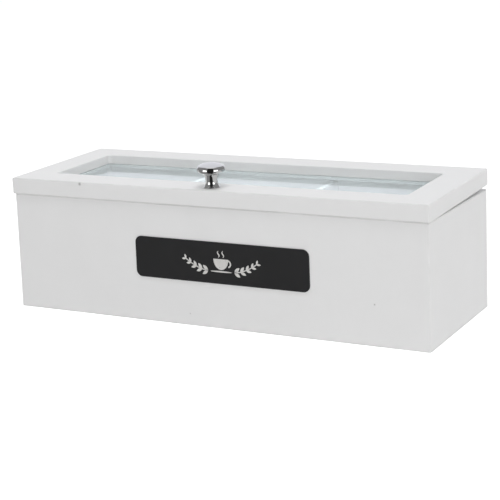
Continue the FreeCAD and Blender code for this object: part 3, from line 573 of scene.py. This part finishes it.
def sprig_tree():
    """A stem along a bend, with pairs of pointed leaves that shrink towards its tip. It is drawn
    flat, then stood up on the plate."""
    tree, add_node, given, keys = new_tree(
        "leafy_sprig", [("Start", "Vector"), ("Middle", "Vector"), ("End", "Vector"), ("Place", "Vector"),
                        ("Leaf Length", "Float"), ("Leaf Width", "Float"), ("Lean", "Float"),
                        ("Pairs", "Int"), ("Stem Width", "Float"), ("Thickness", "Float")])
    stem = add_node("GeometryNodeCurveQuadraticBezier", {
        "Resolution": STEM_STEPS, "Start": given["Start"], "Middle": given["Middle"], "End": given["End"]})
    # A leaf: a flat disc, drawn to a point at both ends
    disc = add_node("GeometryNodeMeshCylinder", {"Vertices": LEAF_SIDES, "Radius": 1.0, "Depth": 1.0})
    spot = add_node("GeometryNodeInputPosition")
    split = add_node("ShaderNodeSeparateXYZ", {"Vector": spot.outputs[0]})
    x, y, z = split.outputs
    along = add_node("ShaderNodeMath", {0: x, 1: 1.0}, operation="ADD")
    long_half = add_node("ShaderNodeMath", {0: given["Leaf Length"], 1: 2.0}, operation="DIVIDE")
    wide_half = add_node("ShaderNodeMath", {0: given["Leaf Width"], 1: 2.0}, operation="DIVIDE")
    leaf_x = add_node("ShaderNodeMath", {0: along.outputs[0], 1: long_half.outputs[0]},
                      operation="MULTIPLY")
    bulge = add_node("ShaderNodeMath", {0: y}, operation="ABSOLUTE")
    drawn = add_node("ShaderNodeMath", {0: y, 1: bulge.outputs[0]}, operation="MULTIPLY")
    leaf_y = add_node("ShaderNodeMath", {0: drawn.outputs[0], 1: wide_half.outputs[0]},
                      operation="MULTIPLY")
    leaf_z = add_node("ShaderNodeMath", {0: z, 1: given["Thickness"]}, operation="MULTIPLY")
    leaf_spot = add_node("ShaderNodeCombineXYZ", {"X": leaf_x.outputs[0], "Y": leaf_y.outputs[0],
                                                  "Z": leaf_z.outputs[0]})
    leaf = add_node("GeometryNodeSetPosition", {"Geometry": disc.outputs["Mesh"],
                                                "Position": leaf_spot.outputs[0]})
    # Pairs of leaves along the stem, then one at its tip
    points = add_node("GeometryNodeCurveToPoints", {"Curve": stem.outputs[0], "Count": given["Pairs"]},
                      mode="COUNT")
    order = add_node("GeometryNodeInputIndex")
    most = add_node("ShaderNodeMath", {0: given["Pairs"], 1: 1.0}, operation="SUBTRACT")
    share = add_node("ShaderNodeMath", {0: order.outputs[0], 1: most.outputs[0]}, operation="DIVIDE")
    size = add_node("ShaderNodeMapRange", {"Value": share.outputs[0], "To Min": 1.0,
                                           "To Max": LEAF_TIP_SHARE})
    heading = add_node("FunctionNodeAlignRotationToVector", {"Vector": points.outputs["Tangent"]},
                       axis="X")
    pieces = [add_node("GeometryNodeCurveToMesh", {
        "Curve": stem.outputs[0],
        "Profile Curve": add_node("GeometryNodeCurvePrimitiveQuadrilateral", {
            "Width": given["Stem Width"], "Height": given["Thickness"]}).outputs[0],
        "Fill Caps": True}).outputs[0]]
    for side in (-1, 1):
        lean = add_node("ShaderNodeMath", {0: given["Lean"], 1: side}, operation="MULTIPLY")
        swing = add_node("ShaderNodeCombineXYZ", {"Z": lean.outputs[0]})
        turn = add_node("FunctionNodeRotateRotation", {"Rotation": heading.outputs[0],
                                                       "Rotate By": swing.outputs[0]})
        turn.rotation_space = "LOCAL"
        leaves = add_node("GeometryNodeInstanceOnPoints", {
            "Points": points.outputs["Points"], "Instance": leaf.outputs[0], "Rotation": turn.outputs[0],
            "Scale": size.outputs["Result"]})
        pieces.append(leaves.outputs[0])
    joined = add_node("GeometryNodeJoinGeometry")
    for piece in pieces:
        tree.links.new(piece, joined.inputs[0])
    stood = add_node("GeometryNodeTransform", {"Geometry": joined.outputs[0], "Translation": given["Place"],
                                               "Rotation": (math.pi / 2, 0, 0)})
    plain = add_node("GeometryNodeRealizeInstances", {"Geometry": stood.outputs[0]})
    inked = add_node("GeometryNodeSetMaterial", {"Geometry": plain.outputs[0], "Material": ink})
    add_node("NodeGroupOutput", {"Geometry": inked.outputs[0]})
    return tree, keys


sprig, sprig_keys = sprig_tree()
for hand, side in (("left", -1), ("right", 1)):
    bend = [(side * x * MM, z * MM, 0) for x, z in (SPRIG_START, SPRIG_MIDDLE, SPRIG_END)]
    printed_sprig = grown(f"printed_{hand}_sprig", sprig, sprig_keys, {
        "Start": bend[0], "Middle": bend[1], "End": bend[2], "Place": MOTIF_MIDDLE,
        "Leaf Length": LEAF_LENGTH, "Leaf Width": LEAF_WIDTH, "Lean": LEAF_LEAN, "Pairs": LEAF_PAIRS,
        "Stem Width": STEM_WIDTH, "Thickness": INK_THICKNESS * 2})
    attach(printed_sprig, "box")

# Hinges
# Two butt hinges of pressed steel, nickel plated and brushed along their length. Each has two
# leaves rolled round one pin.
NICKEL, NICKEL_ROUGHNESS, NICKEL_GRAIN, NICKEL_SCRATCH = (0.50, 0.49, 0.47, 1), 0.30, 0.3 * MM, 0.4
nickel = steel_finish("satin_nickel", NICKEL, NICKEL_ROUGHNESS, NICKEL_GRAIN, "X", NICKEL_SCRATCH)
for hand in ("left", "right"):
    for part in ("box_leaf", "lid_leaf", "pin"):
        set_material(f"{hand}_hinge_{part}", nickel)

# Box hinge screws
# Four countersunk steel wood screws with cross recesses, nickel plated. Two hold each hinge's
# lower leaf down on the back wall, flush with the leaf.
SCREW_HEAD, SCREW_SHANK = 1.8 * MM, 0.95 * MM
SCREW_LAND, SCREW_LENGTH, SCREW_TIP = 0.08 * MM, 6.5 * MM, 1.4 * MM
SCREW_EDGE, SCREW_SETBACK = 4.5 * MM, 3.9 * MM
RECESS_REACH, RECESS_WIDTH, RECESS_DEPTH = 1.05 * MM, 0.42 * MM, 0.6 * MM
SCREW_SIDES, SCREW_SEED = 40, 7
CREASE = math.radians(24)


def turned_mesh(name, profile, sides):
    """A shape turned about the Z axis. The profile (radius, height) runs from the axis, out and
    up, and back to the axis."""
    rings = profile[1:-1]
    points = [(0, 0, profile[0][1])]
    for radius, height in rings:
        turns = [math.tau * side / sides for side in range(sides)]
        points += [(radius * math.cos(turn), radius * math.sin(turn), height) for turn in turns]
    points.append((0, 0, profile[-1][1]))
    faces = []
    for side in range(sides):
        after = (side + 1) % sides
        faces.append((0, 1 + after, 1 + side))
        for ring in range(len(rings) - 1):
            low, high = 1 + ring * sides, 1 + (ring + 1) * sides
            faces.append((low + side, low + after, high + after, high + side))
        last = 1 + (len(rings) - 1) * sides
        faces.append((last + side, last + after, len(points) - 1))
    mesh = bpy.data.meshes.new(name)
    mesh.from_pydata(points, [], faces)
    return mesh


def shade_smooth(mesh, crease):
    """Smooth shading that keeps the edges sharper than the crease angle."""
    mesh.shade_smooth()
    mesh.set_sharp_from_angle(angle=crease)


def screw_tree():
    """Cuts a cross recess in a screw's head, whose face is at the origin, and sets out a row of
    them: so many in each hinge, so many hinges. Each recess stands at its own angle."""
    tree, add_node, given, keys = new_tree(
        "screw_row", [("First", "Vector"), ("Turn", "Vector"), ("Each", "Int"), ("Spread", "Float"),
                      ("Hinges", "Int"), ("Spacing", "Float"), ("Recess Reach", "Float"),
                      ("Recess Width", "Float"), ("Recess Depth", "Float"), ("Seed", "Int"),
                      ("Finish", "Material")])
    double_reach = add_node("ShaderNodeMath", {0: given["Recess Reach"], 1: 2.0}, operation="MULTIPLY")
    double_depth = add_node("ShaderNodeMath", {0: given["Recess Depth"], 1: 2.0}, operation="MULTIPLY")
    cut = add_node("GeometryNodeMeshBoolean", {0: given["Geometry"]}, operation="DIFFERENCE",
                   solver="EXACT")
    for x, y in ((double_reach.outputs[0], given["Recess Width"]),
                 (given["Recess Width"], double_reach.outputs[0])):
        size = add_node("ShaderNodeCombineXYZ", {"X": x, "Y": y, "Z": double_depth.outputs[0]})
        bar = add_node("GeometryNodeMeshCube", {"Size": size.outputs[0]})
        tree.links.new(bar.outputs["Mesh"], cut.inputs[1])
    angle = add_node("FunctionNodeRandomValue", {"Seed": given["Seed"]}, data_type="FLOAT")
    swing = add_node("ShaderNodeMath", {0: angle.outputs[1], 1: math.pi / 2}, operation="MULTIPLY")
    stand = add_node("ShaderNodeCombineXYZ", {"Z": swing.outputs[0]})
    rows = cut.outputs["Mesh"]
    for count, step in (("Each", "Spread"), ("Hinges", "Spacing")):
        offset = add_node("ShaderNodeCombineXYZ", {"X": given[step]})
        line = add_node("GeometryNodeMeshLine", {"Count": given[count], "Offset": offset.outputs[0]},
                        mode="OFFSET")
        spread = add_node("GeometryNodeInstanceOnPoints", {"Points": line.outputs["Mesh"],
                                                           "Instance": rows})
        if count == "Each":
            tree.links.new(stand.outputs[0], spread.inputs["Rotation"])
        rows = spread.outputs[0]
    moved = add_node("GeometryNodeTransform", {"Geometry": rows, "Translation": given["First"],
                                               "Rotation": given["Turn"]})
    plain = add_node("GeometryNodeRealizeInstances", {"Geometry": moved.outputs[0]})
    finished = add_node("GeometryNodeSetMaterial", {"Geometry": plain.outputs[0],
                                                    "Material": given["Finish"]})
    add_node("NodeGroupOutput", {"Geometry": finished.outputs[0]})
    return tree, keys


screw_row, screw_keys = screw_tree()


def wood_screw_blank(name):
    """A countersunk screw before its recess is cut: face at the origin, point down."""
    blank = turned_mesh(name, [
        (0, -SCREW_LENGTH), (SCREW_SHANK, SCREW_TIP - SCREW_LENGTH),
        (SCREW_SHANK, SCREW_SHANK - SCREW_HEAD - SCREW_LAND / 2), (SCREW_HEAD, -SCREW_LAND),
        (SCREW_HEAD - SCREW_LAND / 2, 0), (0, 0)], SCREW_SIDES)
    shade_smooth(blank, CREASE)
    return blank


def hinge_screws(name, left_leaf, right_leaf, face, turn):
    """The four screws of one leaf of each hinge. The leaves are given by their low and high corners."""
    spread = left_leaf[1].x - left_leaf[0].x - 2 * SCREW_EDGE
    spacing = right_leaf[0].x - left_leaf[0].x
    first = (left_leaf[0].x + SCREW_EDGE, pin.y - SCREW_SETBACK, face)
    return grown(name, screw_row, screw_keys, {
        "First": first, "Turn": (turn, 0.0, 0.0), "Each": 2, "Spread": spread, "Hinges": 2,
        "Spacing": spacing, "Recess Reach": RECESS_REACH, "Recess Width": RECESS_WIDTH,
        "Recess Depth": RECESS_DEPTH, "Seed": SCREW_SEED, "Finish": nickel}, wood_screw_blank(name))


pin = Vector(frame["joints"][0]["pos_m"])
box_screw_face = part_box("box_hinge_screws")[1].z
box_screws = hinge_screws("box_wood_screws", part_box("left_hinge_box_leaf"),
                          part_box("right_hinge_box_leaf"), box_screw_face, 0.0)
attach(box_screws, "box")
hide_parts("box_hinge_screws")

# Lid frame
# One board with a routed window and lightly rounded edges, painted as the box is. It closes
# a little below level, so its finish is drawn on the level board.
top_face = max((face for face in frame["nodes"]["glass_pane"].data.polygons if face.normal.z > 0.5),
               key=lambda face: face.area)
LID_TILT = math.atan2(-top_face.normal.y, top_face.normal.z)
level_lid = Matrix.Translation(pin) @ Matrix.Rotation(-LID_TILT, 4, "X") @ Matrix.Translation(-pin)
closed_lid = level_lid.inverted()
lid_low, lid_high = node_box("lid_frame", level_lid)
LID_SPECKS = ((Vector((-75.5 * MM, lid_low.y, lid_low.z + 7.9 * MM)), 1.25 * MM, 0.6),)
set_material("lid_frame", painted_board("lid_frame", lid_low, lid_high, level_lid, LID_SPECKS))
for bead in ("front_bead", "back_bead", "left_bead", "right_bead"):
    # Beads inside the lid take a darker paint, as painted shade that dims the bright line they make under
    # the glass
    set_material(bead, painted_board(bead, *node_box(bead, level_lid), level_lid, paint=PAINT_BEAD_SHADE))

# Lid hinge screws
# Four of the same screws, driven up through the hinges' upper leaves into the lid's back rail.
lid_screw_face = node_box("lid_hinge_screws", level_lid)[0].z
lid_screws = hinge_screws("lid_wood_screws", node_box("left_hinge_lid_leaf", level_lid),
                          node_box("right_hinge_lid_leaf", level_lid), lid_screw_face, math.pi)
lid_screws.data.transform(closed_lid)
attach(lid_screws, "lid")
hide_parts("lid_hinge_screws")

# Glass
# A pane of 2 mm float glass, cut with nipped corners and held up in its step by the four beads.
# It is faintly blue-green, and light from the lamps passes straight through it.
GLASS_TINT, GLASS_INDEX = (0.90, 0.98, 1.0, 1), 1.5
GLASS_SHADOW = (0.98, 0.99, 0.99, 1)
clear_glass = bpy.data.materials.new("float_glass")
clear_glass.use_nodes = True
add = new_nodes(clear_glass.node_tree)
glass = add("ShaderNodeBsdfPrincipled", {"Base Color": GLASS_TINT, "Roughness": 0.0,
                                         "IOR": GLASS_INDEX, "Transmission Weight": 1.0})
open_way = add("ShaderNodeBsdfTransparent", {"Color": GLASS_SHADOW})
path = add("ShaderNodeLightPath")
for_shadow = add("ShaderNodeMixShader", {0: path.outputs["Is Shadow Ray"], 1: glass.outputs["BSDF"],
                                         2: open_way.outputs["BSDF"]})
add("ShaderNodeOutputMaterial", {"Surface": for_shadow.outputs[0]})
set_material("glass_pane", clear_glass)

# Knob
# Turned brass, chromed: a thin foot, a drawn-in waist, a bellied rim with a soft shoulder and a
# low dome. It is bored from below for the screw that holds it, and stands on the lid's front rail.
KNOB_FOOT, KNOB_FOOT_HEIGHT = 4.4 * MM, 0.5 * MM
KNOB_WAIST, KNOB_WAIST_HEIGHT = 3.1 * MM, 3.0 * MM
KNOB_NECK, KNOB_NECK_HEIGHT = 4.0 * MM, 7.0 * MM
KNOB_LIP, KNOB_LIP_HEIGHT = 6.95 * MM, 8.5 * MM
KNOB_BELLY, KNOB_BELLY_HEIGHT = 7.25 * MM, 9.6 * MM
KNOB_SHOULDER, KNOB_SHOULDER_HEIGHT = 6.5 * MM, 11.35 * MM
KNOB_BORE, KNOB_BORE_DEPTH = 2.0 * MM, 8.0 * MM
KNOB_EASE = 0.12 * MM
KNOB_SIDES, KNOB_STEPS = 128, 10
CHROME_HAZE_SIZE = 2.5 * MM
CHROME_CLEAN, CHROME_HAZY = 0.02, 0.07
CHROME_DARK, CHROME_PALE = 0.60, 0.64
knob_low, knob_high = node_box("knob", level_lid)
KNOB_HEIGHT = knob_high.z - knob_low.z


def upright_arc(upright, other, steps):
    """Points (radius, height) of the arc that stands upright at one point and ends at the other."""
    width, rise = other[0] - upright[0], other[1] - upright[1]
    radius = (width ** 2 + rise ** 2) / (2 * width)
    full = math.atan2(abs(rise), abs(radius) - abs(width))
    angles = [full * step / steps for step in range(steps + 1)]
    return [(upright[0] + radius * (1 - math.cos(angle)),
             upright[1] + math.copysign(radius, rise) * math.sin(angle)) for angle in angles]


knob_profile = [(0, KNOB_BORE_DEPTH), (KNOB_BORE, KNOB_BORE_DEPTH), (KNOB_BORE, 0),
                (KNOB_FOOT - KNOB_EASE, 0), (KNOB_FOOT, KNOB_EASE),
                (KNOB_FOOT, KNOB_FOOT_HEIGHT - KNOB_EASE)]
waist, belly = (KNOB_WAIST, KNOB_WAIST_HEIGHT), (KNOB_BELLY, KNOB_BELLY_HEIGHT)
knob_profile += upright_arc(waist, (KNOB_FOOT - KNOB_EASE, KNOB_FOOT_HEIGHT), KNOB_STEPS)[::-1]
knob_profile += upright_arc(waist, (KNOB_NECK, KNOB_NECK_HEIGHT), KNOB_STEPS)[1:]
knob_profile += [(KNOB_LIP - KNOB_EASE, KNOB_LIP_HEIGHT - KNOB_EASE / 2)]
knob_profile += upright_arc(belly, (KNOB_LIP, KNOB_LIP_HEIGHT), KNOB_STEPS)[::-1]
knob_profile += upright_arc(belly, (KNOB_SHOULDER, KNOB_SHOULDER_HEIGHT), KNOB_STEPS * 2)[1:]
dome = upright_arc((KNOB_HEIGHT, 0), (KNOB_SHOULDER_HEIGHT, KNOB_SHOULDER), KNOB_STEPS * 2)
knob_profile += [(radius, height) for height, radius in dome[::-1]][1:]
knob_mesh = turned_mesh("turned_knob", knob_profile, KNOB_SIDES)
knob_foot = Vector(((knob_low.x + knob_high.x) / 2, (knob_low.y + knob_high.y) / 2, knob_low.z))
knob_mesh.transform(closed_lid @ Matrix.Translation(knob_foot))
shade_smooth(knob_mesh, CREASE)
turned_knob = bpy.data.objects.new("turned_knob", knob_mesh)
bpy.context.scene.collection.objects.link(turned_knob)

chrome = bpy.data.materials.new("chrome")
chrome.use_nodes = True
add = new_nodes(chrome.node_tree)
place = add("ShaderNodeTexCoord").outputs["Object"]
haze = add("ShaderNodeTexNoise", {"Vector": place, "Scale": 1 / CHROME_HAZE_SIZE, "Detail": 3.0})
clean = add("ShaderNodeMapRange", {"Value": haze.outputs["Fac"], "To Min": CHROME_CLEAN,
                                   "To Max": CHROME_HAZY})
tone = add("ShaderNodeMapRange", {"Value": haze.outputs["Fac"], "To Min": CHROME_DARK,
                                  "To Max": CHROME_PALE})
plate = add("ShaderNodeCombineColor", {"Red": tone.outputs["Result"], "Green": tone.outputs["Result"],
                                       "Blue": tone.outputs["Result"]})
plating = add("ShaderNodeBsdfPrincipled", {"Base Color": plate.outputs["Color"], "Metallic": 1.0,
                                           "Roughness": clean.outputs["Result"]})
add("ShaderNodeOutputMaterial", {"Surface": plating.outputs["BSDF"]})
knob_mesh.materials.append(chrome)
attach(turned_knob, "lid")
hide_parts("knob")

# Knob screw
# A zinc plated machine screw with a round-edged pan head and a cross recess. It runs up through
# the lid into the knob, and its head sits in a counterbore under the lid.
BOLT_HEAD, BOLT_HEAD_HEIGHT, BOLT_CROWN, BOLT_SHANK = 3.6 * MM, 2.2 * MM, 0.5 * MM, 1.95 * MM
BOLT_CROWN_STEPS = 6
BOLT_RECESS_REACH, BOLT_RECESS_WIDTH, BOLT_RECESS_DEPTH = 1.9 * MM, 0.7 * MM, 1.2 * MM
bolt_low, bolt_high = node_box("knob_screw", level_lid)
bolt_profile = [(0, bolt_low.z - bolt_high.z), (BOLT_SHANK, bolt_low.z - bolt_high.z),
                (BOLT_SHANK, -BOLT_HEAD_HEIGHT), (BOLT_HEAD, -BOLT_HEAD_HEIGHT)]
bolt_profile += arc_points(BOLT_HEAD - BOLT_CROWN, -BOLT_CROWN, BOLT_CROWN, BOLT_CROWN, 0, 90,
                           BOLT_CROWN_STEPS)
bolt_profile += [(0, 0)]
bolt_blank = turned_mesh("pan_head_screw", bolt_profile, KNOB_SIDES // 2)
shade_smooth(bolt_blank, CREASE)
knob_bolt = grown("pan_head_screw", screw_row, screw_keys, {
    "First": (knob_foot.x, knob_foot.y, bolt_low.z), "Turn": (math.pi, 0.0, 0.0), "Each": 1,
    "Spread": 0.0, "Hinges": 1, "Spacing": 0.0, "Recess Reach": BOLT_RECESS_REACH,
    "Recess Width": BOLT_RECESS_WIDTH, "Recess Depth": BOLT_RECESS_DEPTH, "Seed": SCREW_SEED,
    "Finish": zinc}, bolt_blank)
knob_bolt.data.transform(closed_lid)
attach(knob_bolt, "lid")
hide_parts("knob_screw")
